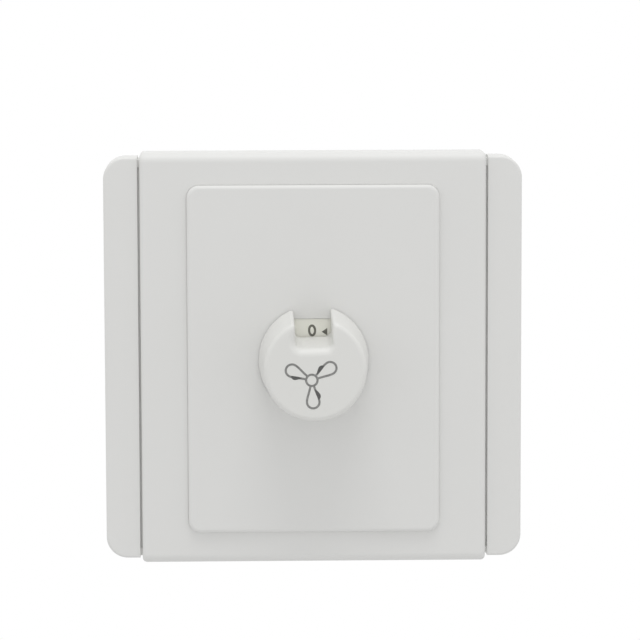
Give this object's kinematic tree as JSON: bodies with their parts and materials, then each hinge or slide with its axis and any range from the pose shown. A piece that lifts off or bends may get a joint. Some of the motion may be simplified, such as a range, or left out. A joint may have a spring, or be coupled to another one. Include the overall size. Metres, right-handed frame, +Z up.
{
  "type": "fan speed control switch",
  "caption": "Flush wall plate with clip-on surround, side strips and raised panel; a notched rotary knob over a numbered dial sets a ceiling fan's speed through capacitors behind the plate.",
  "frame": {"origin": "midway between the two fixing slots, on the wall surface, which is also on the spindle's axis", "axes": "+X to the user's right, +Z up, and -Y out of the wall towards the user; the rear housing lies on the +Y side"},
  "size_m": [0.087, 0.05, 0.086],
  "materials": {
    "front_plastic": "smooth satin moulding, white",
    "knob_plastic": "smooth satin moulding, white",
    "dial_plastic": "fine matt, warm white",
    "nylon": "natural nylon",
    "switch_plastic": "dark grey moulding",
    "housing_plastic": "fine spark-eroded texture, light grey",
    "spring_steel": "rolled strip",
    "screw_steel": "bright zinc plate",
    "bronze": "phosphor bronze strip",
    "brass": "turned and pressed brass",
    "board_laminate": "paper laminate",
    "capacitor_case": "moulded box, light grey",
    "resistor_lacquer": "dipped lacquer, tan"
  },
  "bodies": {
    "base": {"surround": "front_plastic", "left_side_strip": "front_plastic", "right_side_strip": "front_plastic", "mounting_plate": "front_plastic", "speed_dial": "dial_plastic", "detent_spring": "spring_steel", "common_contact": "brass", "step_contacts": "brass", "switch_base": "switch_plastic", "switch_cover": "switch_plastic", "circuit_board": "board_laminate", "large_capacitor": "capacitor_case", "small_capacitor": "capacitor_case", "bleed_resistors": "resistor_lacquer", "live_terminal": "brass", "fan_terminal": "brass", "terminal_screws": "screw_steel", "rear_housing": "housing_plastic", "housing_screws": "screw_steel"},
    "rotor": {"knob": "knob_plastic", "knob_grip_spring": "spring_steel", "spindle": "nylon", "detent_wheel": "nylon", "wiper_contact": "bronze"}
  },
  "joints": [
    {"name": "knob_turn", "type": "hinge", "parent": "base", "child": "rotor", "pos_m": [0, 0, 0], "axis": [0, 1, 0], "range_deg": [0, 300], "deforming": ["detent_spring"]}
  ]
}
